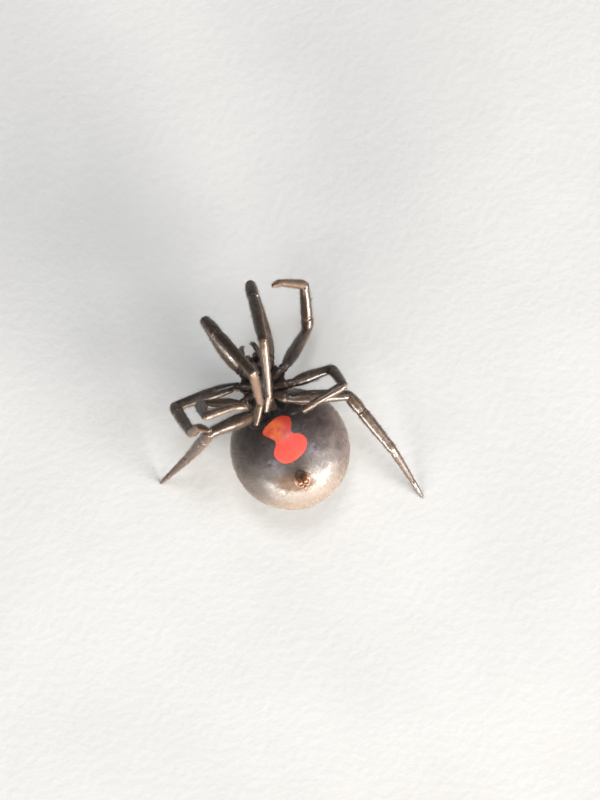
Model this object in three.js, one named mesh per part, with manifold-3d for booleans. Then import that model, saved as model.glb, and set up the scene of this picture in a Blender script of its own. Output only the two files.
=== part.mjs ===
// A female black widow lying on its back with the legs drawn in over the belly.
// Millimetres. +Y runs towards the head, +Z away from the floor, the belly faces +Z.

import * as THREE from "three";
import { mergeVertices } from "three/addons/utils/BufferGeometryUtils.js";
import Module from "manifold-3d";

const wasm = await Module();
wasm.setup();

// Driving sizes

const DEGREE = Math.PI / 180;
const JOINT_GAP = 0.1;
const WELD = 0.0002;
const LIMB_SIDES = 10;
const CAP_STEPS = 2;
const SMALL_SIDES = 8;
const FLOOR_SPAN = 80;

const ABDOMEN = {
  centre: new THREE.Vector3(0, 0, 3.25),
  halfWidth: 3.72,
  halfLength: 3.85,
  halfHeight: 3.5,
  sides: 44,
  rings: 26,
  frontCut: 0.17,
  backShift: 0.5,
  stalkDent: 0.36,
  stalkDentWidth: 0.3,
  stalkWay: new THREE.Vector3(0, 0.83, 0.56).normalize(),
};

const BODY = {
  centre: new THREE.Vector3(0, 4.2, 5.5),
  nodDown: 12 * DEGREE,
};

const CARAPACE = {
  halfWidth: 1.42,
  halfLength: 1.58,
  middle: 0.52,
  rim: -0.45,
  backHeight: 0.95,
  coreHeight: 0.36,
  headNarrowing: 0.36,
  grooveDepth: 0.12,
  eyeRadius: 0.1,
};

const STERNUM = {
  halfWidth: 0.68,
  halfLength: 0.84,
  height: 0.24,
  level: 0.1,
  tailNarrowing: 0.55,
};

// Lengths of coxa with trochanter, femur, patella with tibia, metatarsus and tarsus
const LEG_LENGTHS = {
  1: [1.15, 4.5, 5.3, 3.7, 1.4],
  2: [1.1, 3.9, 3.5, 2.6, 1.0],
  3: [1.1, 2.8, 2.7, 2.05, 1.0],
  4: [1.15, 3.55, 4.9, 3.2, 1.6],
};

const LEG_RADII = {
  1: [0.38, 0.46, 0.37, 0.27, 0.2],
  2: [0.35, 0.41, 0.39, 0.3, 0.23],
  3: [0.34, 0.38, 0.33, 0.29, 0.23],
  4: [0.38, 0.44, 0.39, 0.27, 0.18],
};

// Radius along each segment as parts of its greatest one
const SEGMENT_NAMES = ["coxa", "femur", "tibia", "metatarsus", "tarsus"];
const SEGMENT_FORMS = [
  [[0, 0.7], [0.3, 0.95], [0.56, 1], [0.7, 0.8], [0.84, 0.86], [1, 0.72]],
  [[0, 0.62], [0.08, 0.8], [0.3, 1], [0.55, 0.95], [0.8, 0.78], [0.93, 0.74], [1, 0.66]],
  [
    [0, 0.78], [0.1, 1], [0.2, 0.98], [0.27, 0.84], [0.34, 0.94],
    [0.62, 0.88], [0.86, 0.76], [0.95, 0.78], [1, 0.64],
  ],
  [[0, 0.8], [0.1, 1], [0.5, 0.86], [0.9, 0.72], [1, 0.62]],
  [[0, 0.76], [0.15, 1], [0.6, 0.78], [0.9, 0.5], [1, 0.36]],
];

// Where the legs leave the body: sideways, forwards
const LEG_ROOTS = {
  1: [0.5, 0.72],
  2: [0.74, 0.2],
  3: [0.7, -0.32],
  4: [0.5, -0.78],
};

// Heading from the front towards the leg's own side, then rise above the level, in degrees.
// A rise of null lets the tip down to the floor.
const COXA_WAYS = { 1: [31, -8], 2: [64, -5], 3: [100, 13], 4: [126, 20] };
const LEG_POSES = {
  left: {
    1: [[7, 6], [-171, 46], [-163, -32], [-150, -34]],
    2: [[53, -46.5], [18, 39], [-67, 56], [-95, 59]],
    3: [[92, -26], [168, 62], [-98, 8], [-105, -22]],
    4: [[109, -15], [163, -24], [169, -45], [170, null]],
  },
  right: {
    1: [[11, 41], [-160, 34], [169, -61], [148, -12]],
    2: [[86, -6], [-166, 56], [-78, 75], [-130, 43]],
    3: [[67, 30], [-170, 72], [-94, -36], [-112, -34]],
    4: [[90, 42], [114, -64], [109, -58], [109, null]],
  },
};
const TIP_LEVEL = 0.03;

const COLOURS = {
  abdomen: [0x2a2020, 0.22],
  carapace: [0x211a18, 0.3],
  sternum: [0x241d1b, 0.3],
  coxa: [0x2b231f, 0.34],
  femur: [0x2a211c, 0.34],
  tibia: [0x2f2620, 0.34],
  metatarsus: [0x35281f, 0.38],
  tarsus: [0x44301f, 0.42],
  chelicera: [0x2c1b14, 0.28],
  palp: [0x33261f, 0.38],
  pedicel: [0x3a2a22, 0.45],
  spinnerets: [0x5f4029, 0.45],
};

const spider = new THREE.Group();
spider.name = "black_widow";

// Solids

function withoutSlivers(geometry) {
  const index = geometry.getIndex().array;
  const kept = [];
  for (let corner = 0; corner < index.length; corner += 3) {
    const [a, b, c] = [index[corner], index[corner + 1], index[corner + 2]];
    if (a !== b && b !== c && a !== c) {
      kept.push(a, b, c);
    }
  }
  return new Uint32Array(kept);
}

function solidOf(geometry) {
  const bare = geometry.clone();
  bare.deleteAttribute("normal");
  bare.deleteAttribute("uv");
  const welded = mergeVertices(bare, WELD);
  const solid = new wasm.Manifold(
    new wasm.Mesh({
      numProp: 3,
      vertProperties: new Float32Array(welded.getAttribute("position").array),
      triVerts: withoutSlivers(welded),
    })
  );
  return solid;
}

function largestOf(solid) {
  const bodies = solid.decompose();
  return bodies.reduce((best, body) => (body.volume() > best.volume() ? body : best));
}

function addPart(name, kind, solid, origin) {
  const mesh = largestOf(solid).getMesh();
  const geometry = new THREE.BufferGeometry();
  geometry.setAttribute("position", new THREE.BufferAttribute(new Float32Array(mesh.vertProperties), 3));
  geometry.setIndex(new THREE.BufferAttribute(new Uint32Array(mesh.triVerts), 1));
  geometry.translate(-origin.x, -origin.y, -origin.z);
  geometry.computeVertexNormals();
  const [colour, roughness] = COLOURS[kind];
  const material = new THREE.MeshStandardMaterial({ color: colour, roughness, metalness: 0 });
  const part = new THREE.Mesh(geometry, material);
  part.name = name;
  part.position.copy(origin);
  spider.add(part);
}

function limbGeometry(start, end, radius, form, grow, sides = LIMB_SIDES) {
  const length = start.distanceTo(end);
  const first = radius * form[0][1] + grow;
  const last = radius * form[form.length - 1][1] + grow;
  const outline = [];
  for (let step = 0; step <= CAP_STEPS; step += 1) {
    const turn = ((step / CAP_STEPS) * Math.PI) / 2;
    outline.push(new THREE.Vector2(first * Math.sin(turn), -first * Math.cos(turn)));
  }
  for (const [place, share] of form.slice(1, -1)) {
    outline.push(new THREE.Vector2(radius * share + grow, place * length));
  }
  for (let step = 0; step <= CAP_STEPS; step += 1) {
    const turn = ((step / CAP_STEPS) * Math.PI) / 2;
    outline.push(new THREE.Vector2(last * Math.cos(turn), length + last * Math.sin(turn)));
  }
  outline[0].x = 0;
  outline[outline.length - 1].x = 0;
  const geometry = new THREE.LatheGeometry(outline, sides);
  const way = end.clone().sub(start).normalize();
  const turn = new THREE.Quaternion().setFromUnitVectors(new THREE.Vector3(0, 1, 0), way);
  geometry.applyQuaternion(turn);
  geometry.translate(start.x, start.y, start.z);
  return geometry;
}

function limb(start, end, radius, form, grow = 0, sides = LIMB_SIDES) {
  return solidOf(limbGeometry(start, end, radius, form, grow, sides));
}

function ball(centre, radii, sides, rings, turn = new THREE.Quaternion()) {
  const geometry = new THREE.SphereGeometry(1, sides, rings);
  geometry.scale(radii[0], radii[1], radii[2]);
  geometry.applyQuaternion(turn);
  geometry.translate(centre.x, centre.y, centre.z);
  return solidOf(geometry);
}

function shapedBall(sides, rings, shape) {
  const geometry = new THREE.SphereGeometry(1, sides, rings);
  geometry.rotateX(Math.PI / 2);
  const spots = geometry.getAttribute("position");
  const way = new THREE.Vector3();
  for (let corner = 0; corner < spots.count; corner += 1) {
    way.fromBufferAttribute(spots, corner);
    const place = shape(way);
    spots.setXYZ(corner, place.x, place.y, place.z);
  }
  return solidOf(geometry);
}

const floorGeometry = new THREE.BoxGeometry(FLOOR_SPAN, FLOOR_SPAN, 4);
floorGeometry.translate(0, 0, -2);
const floorBlock = solidOf(floorGeometry);

// Abdomen, a globe cut back in front on the belly side and fullest towards the front on the back,
// with the plates over the book lungs

function abdomenPlace(way, grow) {
  const front = Math.max(0, way.y) * Math.max(0, way.z + 0.15);
  const nearStalk = way.angleTo(ABDOMEN.stalkWay) / ABDOMEN.stalkDentWidth;
  const dent = ABDOMEN.stalkDent * Math.exp(-nearStalk * nearStalk);
  const backward = Math.max(0, -way.z);
  const place = new THREE.Vector3(
    way.x * (ABDOMEN.halfWidth + grow),
    way.y * (ABDOMEN.halfLength + grow) * (1 - ABDOMEN.frontCut * front),
    way.z * (ABDOMEN.halfHeight + grow)
  );
  place.y += ABDOMEN.backShift * backward * backward;
  place.addScaledVector(way, -dent);
  return place.add(ABDOMEN.centre);
}

function abdomenGlobe(grow) {
  return shapedBall(ABDOMEN.sides, ABDOMEN.rings, (way) => abdomenPlace(way, grow));
}

// The place on the belly above a point of the plan, with the way the skin faces there
function bellySpot(x, y) {
  const way = new THREE.Vector3(x / ABDOMEN.halfWidth, y / ABDOMEN.halfLength, 0);
  way.z = Math.sqrt(1 - way.x * way.x - way.y * way.y);
  const place = abdomenPlace(way, 0);
  const facing = new THREE.Vector3(
    way.x / ABDOMEN.halfWidth,
    way.y / ABDOMEN.halfLength,
    way.z / ABDOMEN.halfHeight
  ).normalize();
  return { place, facing };
}

function bellyPlate(x, y, radii) {
  const { place, facing } = bellySpot(x, y);
  const turn = new THREE.Quaternion().setFromUnitVectors(new THREE.Vector3(0, 0, 1), facing);
  return ball(place, radii, 16, 8, turn);
}

const GENITAL_PLATE = { forward: 2.42, radii: [0.4, 0.26, 0.16] };
const LUNG_PLATE = { side: 1.2, forward: 2.3, radii: [0.55, 0.42, 0.1] };

const abdomenSolid = abdomenGlobe(0)
  .add(bellyPlate(0, GENITAL_PLATE.forward, GENITAL_PLATE.radii))
  .add(bellyPlate(LUNG_PLATE.side, LUNG_PLATE.forward, LUNG_PLATE.radii))
  .add(bellyPlate(-LUNG_PLATE.side, LUNG_PLATE.forward, LUNG_PLATE.radii))
  .subtract(floorBlock);
addPart("abdomen", "abdomen", abdomenSolid, ABDOMEN.centre);

// Spinnerets, three pairs on a low mound with the anal cone behind them

const SPINNERET_PLACE = -1.9;
const SPINNERET_MOUND = { back: 0.08, radii: [0.58, 0.6, 0.3] };
const SPINNERET_ROOT = 0.05;
const SPINNERET_RISE = 0.2;
const ANAL_CONE = { foot: [0, 0.48, 0], tip: [0, 0.6, 0.28], radius: 0.16 };
const SPINNERETS = [
  { side: 0.22, back: -0.2, length: 0.5, radius: 0.2, splay: -6, lean: 22 },
  { side: 0.23, back: 0.2, length: 0.46, radius: 0.17, splay: -8, lean: 4 },
  { side: 0.07, back: 0.04, length: 0.4, radius: 0.09, splay: 0, lean: 14 },
];
const SPINNERET_FORM = [[0, 1], [0.55, 0.92], [0.72, 0.7], [1, 0.5]];
const { place: tailPlace, facing: tailFacing } = bellySpot(0, SPINNERET_PLACE);
const tailTurn = new THREE.Quaternion().setFromUnitVectors(new THREE.Vector3(0, 0, 1), tailFacing);

function tailPoint(side, back, out) {
  return new THREE.Vector3(side, -back, out).applyQuaternion(tailTurn).add(tailPlace);
}

let spinnerets = ball(tailPoint(0, SPINNERET_MOUND.back, 0), SPINNERET_MOUND.radii, 18, 10, tailTurn);
for (const { side, back, length, radius, splay, lean } of SPINNERETS) {
  for (const hand of [-1, 1]) {
    const foot = tailPoint(hand * side, back, SPINNERET_ROOT);
    const tip = tailPoint(
      hand * (side + length * Math.sin(splay * DEGREE)),
      back + length * Math.sin(lean * DEGREE),
      SPINNERET_RISE + length * Math.cos(splay * DEGREE)
    );
    spinnerets = spinnerets.add(limb(foot, tip, radius, SPINNERET_FORM, 0, SMALL_SIDES));
  }
}
const coneFoot = tailPoint(...ANAL_CONE.foot);
const coneTip = tailPoint(...ANAL_CONE.tip);
spinnerets = spinnerets.add(limb(coneFoot, coneTip, ANAL_CONE.radius, SPINNERET_FORM, 0, SMALL_SIDES));
addPart("spinnerets", "spinnerets", spinnerets.subtract(abdomenGlobe(JOINT_GAP)), tailPlace);

// Front body: every point is given in its own frame, nodded down towards the head

function bodyPoint(x, y, z) {
  const place = new THREE.Vector3(x, y, z);
  place.applyAxisAngle(new THREE.Vector3(1, 0, 0), -BODY.nodDown);
  return place.add(BODY.centre);
}

function groove(x, y, footX, footY, headX, headY, width) {
  const along = new THREE.Vector2(headX - footX, headY - footY);
  const toPoint = new THREE.Vector2(x - footX, y - footY);
  const share = THREE.MathUtils.clamp(toPoint.dot(along) / along.lengthSq(), 0, 1);
  const off = toPoint.sub(along.multiplyScalar(share)).length() / width;
  return Math.exp(-off * off);
}

function carapacePlace(way, grow) {
  const forward = THREE.MathUtils.smoothstep(way.y, -0.1, 0.9);
  const x = way.x * (CARAPACE.halfWidth + grow) * (1 - CARAPACE.headNarrowing * forward);
  const y = CARAPACE.middle + way.y * (CARAPACE.halfLength + grow);
  const height = way.z > 0 ? CARAPACE.coreHeight : CARAPACE.backHeight;
  let z = CARAPACE.rim + way.z * (height + grow);
  if (way.z < 0) {
    const side = Math.abs(x);
    const pit = groove(side, y, 0, -0.12, 0, -0.3, 0.2);
    const neck = groove(side, y, 0.12, 0.1, 0.85, 1.05, 0.14);
    z += CARAPACE.grooveDepth * (pit + 0.8 * neck) * -way.z;
  }
  return bodyPoint(x, y, z);
}

function carapaceShell(grow) {
  return shapedBall(30, 18, (way) => carapacePlace(way, grow));
}

// Side, forward and level of each eye of one side
const EYES = [
  [0.15, 1.83, -0.92],
  [0.16, 1.98, -0.64],
  [0.48, 1.72, -0.87],
  [0.52, 1.8, -0.62],
];
let carapace = carapaceShell(0);
for (const [side, forward, level] of EYES) {
  for (const hand of [-1, 1]) {
    const radii = [CARAPACE.eyeRadius, CARAPACE.eyeRadius, CARAPACE.eyeRadius];
    carapace = carapace.add(ball(bodyPoint(hand * side, forward, level), radii, 8, 6));
  }
}
addPart("carapace", "carapace", carapace, bodyPoint(0, CARAPACE.middle, CARAPACE.rim));

function sternumPlace(way, grow) {
  const tail = Math.max(0, -way.y);
  const x = way.x * (STERNUM.halfWidth + grow) * (1 - STERNUM.tailNarrowing * tail * tail);
  const y = way.y * (STERNUM.halfLength + grow);
  const z = STERNUM.level + way.z * (STERNUM.height + grow);
  return bodyPoint(x, y, z);
}

function sternumPlate(grow) {
  const lip = limb(
    bodyPoint(0, 0.78, 0.14), bodyPoint(0, 1.12, 0.16), 0.2, [[0, 1], [0.5, 1], [1, 0.8]], grow
  );
  return shapedBall(20, 10, (way) => sternumPlace(way, grow)).add(lip);
}

addPart("sternum", "sternum", sternumPlate(0).subtract(carapaceShell(JOINT_GAP)), bodyPoint(0, 0, 0));

const coreOfBody = carapaceShell(JOINT_GAP).add(sternumPlate(JOINT_GAP));

// Stalk between front body and abdomen

const STALK_RADIUS = 0.27;
const STALK_DEPTH = 2.6;
const STALK_FORM = [[0, 1], [0.5, 0.9], [1, 1]];
const stalkFront = bodyPoint(0, -0.8, -0.2);
const stalkBack = ABDOMEN.centre.clone().addScaledVector(ABDOMEN.stalkWay, STALK_DEPTH);
const stalk = limb(stalkFront, stalkBack, STALK_RADIUS, STALK_FORM)
  .subtract(coreOfBody)
  .subtract(abdomenGlobe(JOINT_GAP));
addPart("pedicel", "pedicel", stalk, stalkFront);
const clearOfStalk = limb(stalkFront, stalkBack, STALK_RADIUS, STALK_FORM, JOINT_GAP);

// Jaws with their fangs, and the palps with the lobes beside the mouth

// Side, forward and level of each joint
const JAW = {
  root: [0.3, 1.72, -0.35],
  tip: [0.27, 2.0, 0.24],
  fangTip: [0.08, 1.8, 0.42],
  radius: 0.24,
  fangRadius: 0.08,
};
const PALP = {
  lobeRoot: [0.5, 1.02, 0.1],
  lobeTip: [0.26, 1.42, 0.36],
  knuckle: [0.56, 1.3, 0.3],
  knee: [0.5, 2.05, 0.66],
  wrist: [0.42, 2.55, 0.62],
  tip: [0.26, 2.8, 0.08],
  lobeRadius: 0.2,
  radius: 0.17,
  tipRadius: 0.15,
};
const JAW_FORM = [[0, 0.9], [0.3, 1], [0.75, 0.85], [1, 0.7]];
const FANG_FORM = [[0, 1], [0.5, 0.75], [1, 0.25]];
const LOBE_FORM = [[0, 0.9], [0.5, 1], [1, 0.7]];
const PALP_FORM = [[0, 0.7], [0.3, 1], [0.8, 0.9], [1, 0.8]];
const PALP_TIP_FORM = [[0, 0.8], [0.3, 1], [0.7, 0.75], [1, 0.35]];

function handed([x, y, z], side) {
  return bodyPoint(side * x, y, z);
}

function jawSolid(side, grow) {
  const jawTip = handed(JAW.tip, side);
  const jaw = limb(handed(JAW.root, side), jawTip, JAW.radius, JAW_FORM, grow);
  return jaw.add(limb(jawTip, handed(JAW.fangTip, side), JAW.fangRadius, FANG_FORM, grow, SMALL_SIDES));
}

for (const [hand, side] of [["left", 1], ["right", -1]]) {
  const jaw = jawSolid(side, 0).subtract(coreOfBody);
  addPart(`chelicera_${hand}`, "chelicera", jaw, handed(JAW.root, side));
}

function palpSolid(side, grow) {
  const lobeRoot = handed(PALP.lobeRoot, side);
  const knuckle = handed(PALP.knuckle, side);
  const knee = handed(PALP.knee, side);
  const wrist = handed(PALP.wrist, side);
  const pieces = [
    [lobeRoot, handed(PALP.lobeTip, side), PALP.lobeRadius, LOBE_FORM],
    [lobeRoot, knuckle, PALP.lobeRadius, LOBE_FORM],
    [knuckle, knee, PALP.radius, PALP_FORM],
    [knee, wrist, PALP.radius, PALP_FORM],
    [wrist, handed(PALP.tip, side), PALP.tipRadius, PALP_TIP_FORM],
  ];
  return pieces
    .map(([start, end, radius, form]) => limb(start, end, radius, form, grow, SMALL_SIDES))
    .reduce((whole, piece) => whole.add(piece));
}

for (const [hand, side] of [["left", 1], ["right", -1]]) {
  const palp = palpSolid(side, 0).subtract(coreOfBody).subtract(jawSolid(side, JOINT_GAP));
  addPart(`palp_${hand}`, "palp", palp, handed(PALP.lobeRoot, side));
}

// Legs

function towards(heading, rise, side) {
  const level = Math.cos(rise * DEGREE);
  return new THREE.Vector3(
    side * Math.sin(heading * DEGREE) * level,
    Math.cos(heading * DEGREE) * level,
    Math.sin(rise * DEGREE)
  );
}

function addLeg(hand, side, number, neighbour) {
  const lengths = LEG_LENGTHS[number];
  const radii = LEG_RADII[number];
  const ways = [COXA_WAYS[number], ...LEG_POSES[hand][number]];
  const [rootSide, rootForward] = LEG_ROOTS[number];
  let start = bodyPoint(side * rootSide, rootForward, 0);
  let before = number === 4 ? coreOfBody.add(clearOfStalk) : coreOfBody;
  let coxaGrown = null;
  SEGMENT_NAMES.forEach((segment, order) => {
    const [heading, rise] = ways[order];
    const drop = (TIP_LEVEL - start.z) / lengths[order];
    const lift = rise === null ? Math.asin(drop) / DEGREE : rise;
    const end = start.clone().addScaledVector(towards(heading, lift, side), lengths[order]);
    const form = SEGMENT_FORMS[order];
    const grown = limb(start, end, radii[order], form, JOINT_GAP);
    let solid = limb(start, end, radii[order], form).subtract(before).subtract(floorBlock);
    if (order === 0) {
      solid = solid.subtract(neighbour);
      coxaGrown = grown;
    }
    addPart(`${segment}_${hand}_${number}`, segment, solid, start);
    before = grown;
    start = end;
  });
  return coxaGrown;
}

for (const [hand, side] of [["left", 1], ["right", -1]]) {
  let neighbour = palpSolid(side, JOINT_GAP);
  for (const number of [1, 2, 3, 4]) {
    neighbour = addLeg(hand, side, number, neighbour);
  }
}

export default spider;
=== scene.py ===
# The looks of a female black widow that lies on its back with the legs drawn in over the belly.

import math

import bpy
import numpy as np
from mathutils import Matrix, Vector


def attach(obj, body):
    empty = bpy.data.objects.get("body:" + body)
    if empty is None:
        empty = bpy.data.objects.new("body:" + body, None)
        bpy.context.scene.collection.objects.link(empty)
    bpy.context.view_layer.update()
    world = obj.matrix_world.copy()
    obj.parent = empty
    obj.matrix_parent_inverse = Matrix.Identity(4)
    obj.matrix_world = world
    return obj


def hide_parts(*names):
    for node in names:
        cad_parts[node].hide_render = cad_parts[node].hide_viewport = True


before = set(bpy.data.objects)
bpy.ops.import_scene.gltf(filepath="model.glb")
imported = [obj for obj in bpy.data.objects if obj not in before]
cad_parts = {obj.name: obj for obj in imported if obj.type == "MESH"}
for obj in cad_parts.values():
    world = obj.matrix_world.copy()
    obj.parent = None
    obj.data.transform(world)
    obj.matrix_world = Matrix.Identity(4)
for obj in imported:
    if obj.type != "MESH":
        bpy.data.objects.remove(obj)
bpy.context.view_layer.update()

# Sizes, in millimetres, turned to metres where a mesh is made

MM = 0.001
HANDS = {"left": 1, "right": -1}

ABDOMEN_CENTRE = np.array([0, 0, 3.25])
ABDOMEN_HALF = np.array([3.72, 3.85, 3.5])
ABDOMEN_FRONT_CUT = 0.17
ABDOMEN_BACK_SHIFT = 0.5
STALK_WAY = np.array([0, 0.83, 0.56]) / math.hypot(0.83, 0.56)
STALK_DENT = 0.36
STALK_DENT_WIDTH = 0.3
SPINNERET_PLACE = -1.9
FLOOR_ROUNDING = 0.03

# The red hourglass on the belly: sideways and forwards from the middle of the abdomen
HOURGLASS = [
    (0.03, 2.14), (0.41, 2.10), (0.77, 1.86), (0.72, 1.42), (0.50, 1.10), (0.56, 0.82),
    (0.93, 0.69), (1.18, 0.37), (1.16, -0.03), (0.83, -0.42), (0.43, -0.61), (-0.03, -0.75),
    (-0.48, -0.75), (-0.83, -0.50), (-1.02, -0.08), (-0.95, 0.28), (-0.70, 0.52), (-0.60, 0.83),
    (-0.82, 1.07), (-1.13, 1.36), (-1.18, 1.63), (-0.88, 1.85), (-0.42, 2.02),
]
HOURGLASS_LEVEL = 3.4

# Places on the abdomen, sideways and forwards from its middle, with half widths and a turn
LUNG_PLATE_PLACE = (1.2, 2.3)
LUNG_PLATE_HALF = (0.58, 0.44)
BELLY_PITS = [(1.42, 0.95), (1.5, -0.35)]
BACK_PITS = [(2.1, 1.9), (2.1, -0.5)]
GENITAL_PLATE_FORWARD = 2.42
GENITAL_PLATE_HALF = (0.44, 0.28)
GENITAL_SLIT_FORWARD = 2.3
FURROW_FORWARD = 2.22
# A rust-brown patch by the spinnerets that is also their painted shadow, set off to the side where
# that shadow falls
RUST_AND_SHADOW_PLACE = (-0.54, -1.95)
RUST_AND_SHADOW_HALF = (1.25, 0.68)
RUST_AND_SHADOW_TURN = (0.92, 0.38)
# Lavender patches either side of the hourglass's rear lobe are a painted reflection
LAVENDER_SHEEN_PLACE = (1.2, -0.6)
# Middle of the orange front lobe, whose orange is painted brighter to make up for the shade it lies
# in
BRIGHT_ORANGE_PLACE = (-0.5, 1.5)

BODY_CENTRE = np.array([0, 4.2, 5.5])
BODY_NOD = math.radians(12)
CARAPACE_HALF = (1.42, 1.58)
CARAPACE_MIDDLE = 0.52
CARAPACE_RIM = -0.45
CARAPACE_BACK = 0.95
CARAPACE_CORE = 0.36
HEAD_NARROWING = 0.36
EYE_RADIUS = 0.1
# Sideways, forwards and up from the middle of the front body
EYES = [(0.15, 1.83, -0.92), (0.16, 1.98, -0.64), (0.48, 1.72, -0.87), (0.52, 1.8, -0.62)]
STERNUM_HALF = (0.68, 0.84, 0.24)
STERNUM_LEVEL = 0.1
STALK_RADIUS = 0.27

LEG_LENGTHS = {
    1: [1.15, 4.5, 5.3, 3.7, 1.4],
    2: [1.1, 3.9, 3.5, 2.6, 1.0],
    3: [1.1, 2.8, 2.7, 2.05, 1.0],
    4: [1.15, 3.55, 4.9, 3.2, 1.6],
}
LEG_RADII = {
    1: [0.38, 0.46, 0.37, 0.27, 0.2],
    2: [0.35, 0.41, 0.39, 0.3, 0.23],
    3: [0.34, 0.38, 0.33, 0.29, 0.23],
    4: [0.38, 0.44, 0.39, 0.27, 0.18],
}
SEGMENTS = ["coxa", "femur", "tibia", "metatarsus", "tarsus"]
# Shares along each segment, with the share of its radius there
SEGMENT_FORMS = [
    [(0, 0.7), (0.3, 0.95), (0.56, 1), (0.7, 0.8), (0.84, 0.86), (1, 0.72)],
    [(0, 0.62), (0.08, 0.8), (0.3, 1), (0.55, 0.95), (0.8, 0.78), (0.93, 0.74), (1, 0.66)],
    [
        (0, 0.78), (0.1, 1), (0.2, 0.98), (0.27, 0.84), (0.34, 0.94),
        (0.62, 0.88), (0.86, 0.76), (0.95, 0.78), (1, 0.64),
    ],
    [(0, 0.8), (0.1, 1), (0.5, 0.86), (0.9, 0.72), (1, 0.62)],
    [(0, 0.76), (0.15, 1), (0.6, 0.78), (0.9, 0.5), (1, 0.36)],
]
# Where each segment's plates start and end: coxa and trochanter are two, and patella and tibia
SEGMENT_PLATES = [[(0, 0.69), (0.7, 1)], [(0, 1)], [(0, 0.262), (0.272, 1)], [(0, 1)], [(0, 1)]]
# Sideways and forwards from the middle of the front body
LEG_ROOTS = {1: (0.5, 0.72), 2: (0.74, 0.2), 3: (0.7, -0.32), 4: (0.5, -0.78)}
# Heading from straight ahead and rise, in degrees; None lets the tip down to the floor
COXA_WAYS = {1: (31, -8), 2: (64, -5), 3: (100, 13), 4: (126, 20)}
LEG_POSES = {
    "left": {
        1: [(7, 6), (-171, 46), (-163, -32), (-150, -34)],
        2: [(53, -46.5), (18, 39), (-67, 56), (-95, 59)],
        3: [(92, -26), (168, 62), (-98, 8), (-105, -22)],
        4: [(109, -15), (163, -24), (169, -45), (170, None)],
    },
    "right": {
        1: [(11, 41), (-160, 34), (169, -61), (148, -12)],
        2: [(86, -6), (-166, 56), (-78, 75), (-130, 43)],
        3: [(67, 30), (-170, 72), (-94, -36), (-112, -34)],
        4: [(90, 42), (114, -64), (109, -58), (109, None)],
    },
}
TIP_LEVEL = 0.03
FLOOR_CLEARANCE = 0.004
RIM_PLACE = 0.08
RIM_WIDTH = 0.04
RIM_SWELL = 0.05


# Plain geometry


def unit(v):
    return v / np.maximum(np.linalg.norm(v, axis=-1, keepdims=True), 1e-12)


def smooth(low, high, x):
    t = np.clip((x - low) / (high - low), 0, 1)
    return t * t * (3 - 2 * t)


def bell(distance, width):
    return np.exp(-((distance / width) ** 2))


def ripple(points, size, seed):
    """Seeded unevenness of about -1 to 1 with that wave length."""
    waves = 9
    source = np.random.default_rng(seed)
    total = np.zeros(len(points))
    for _ in range(waves):
        way = unit(source.normal(size=3))
        pitch = 2 * math.pi / size * source.uniform(0.7, 1.3)
        total += np.sin(points @ way * pitch + source.uniform(0, 2 * math.pi))
    return total / math.sqrt(waves)


def body_point(x, y, z):
    """A point of the front body, which nods down towards the head."""
    c, s = math.cos(BODY_NOD), math.sin(BODY_NOD)
    return np.stack(np.broadcast_arrays(x, y * c + z * s, -y * s + z * c), -1) + BODY_CENTRE


def handed(place, side):
    """The point of the front body on the left side, 1, or the right side, -1."""
    return body_point(side * place[0], place[1], place[2])


def towards(heading, rise, side):
    """The direction with that heading and rise, in degrees."""
    h, r = math.radians(heading), math.radians(rise)
    return np.array([side * math.sin(h) * math.cos(r), math.cos(h) * math.cos(r), math.sin(r)])


def leg_joints(hand, number):
    side = HANDS[hand]
    joints = [handed((*LEG_ROOTS[number], 0), side)]
    turns = [COXA_WAYS[number], *LEG_POSES[hand][number]]
    for (heading, rise), length in zip(turns, LEG_LENGTHS[number]):
        if rise is None:
            rise = math.degrees(math.asin((TIP_LEVEL - joints[-1][2]) / length))
        joints.append(joints[-1] + towards(heading, rise, side) * length)
    return joints


def ring_faces(rings, sides):
    """Faces of rings of points with one more point at either end, the first end's point first."""
    row = np.arange(rings - 1)[:, None] * sides
    here = np.arange(sides)[None, :]
    there = (here + 1) % sides
    quads = [row + here, row + there, row + sides + there, row + sides + here]
    quads = np.stack(quads, -1).reshape(-1, 4)
    first, last = rings * sides, rings * sides + 1
    here, there = here[0], there[0]
    far = (rings - 1) * sides
    start = np.stack([np.full(sides, first), there, here], -1)
    end = np.stack([np.full(sides, last), far + here, far + there], -1)
    return [quads, np.concatenate([start, end])]


class Form:
    """The points and faces of one piece, gathered shape by shape."""

    def __init__(self):
        self.points, self.faces, self.marks, self.count = [], [], {}, 0

    def add(self, points, faces, **marks):
        """One more shape, with a value or values for each mark that the paint reads."""
        for name, values in marks.items():
            values = np.broadcast_to(values, len(points))
            self.marks.setdefault(name, []).append((self.count, values))
        self.points.append(points)
        self.faces += [group + self.count for group in faces]
        self.count += len(points)

    def make(self, name, paint, slot, replaces=(), spots=None):
        """The Blender piece, which rides on the body and stands for those nodes."""
        points = np.concatenate(self.points)
        loops = np.concatenate([group.ravel() for group in self.faces])
        sizes = np.concatenate([np.full(len(group), group.shape[1]) for group in self.faces])
        mesh = bpy.data.meshes.new(name)
        mesh.vertices.add(len(points))
        mesh.vertices.foreach_set("co", (points * MM).ravel())
        mesh.loops.add(len(loops))
        mesh.loops.foreach_set("vertex_index", loops)
        mesh.polygons.add(len(sizes))
        mesh.polygons.foreach_set("loop_start", np.concatenate([[0], np.cumsum(sizes)[:-1]]))
        mesh.polygons.foreach_set("use_smooth", np.ones(len(sizes), dtype=bool))
        mesh.update(calc_edges=True)
        for mark, groups in self.marks.items():
            values = np.zeros(len(points))
            for start, part in groups:
                values[start : start + len(part)] = part
            mesh.attributes.new(mark, "FLOAT", "POINT").data.foreach_set("value", values)
        if spots is not None:
            layer = mesh.uv_layers.new(name="OFBake")
            layer.data.foreach_set("uv", spots[loops].ravel())
        mesh.materials.append(paint.material)
        piece = bpy.data.objects.new(name, mesh)
        bpy.context.scene.collection.objects.link(piece)
        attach(piece, "root")
        if replaces:
            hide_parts(*replaces)


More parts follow.
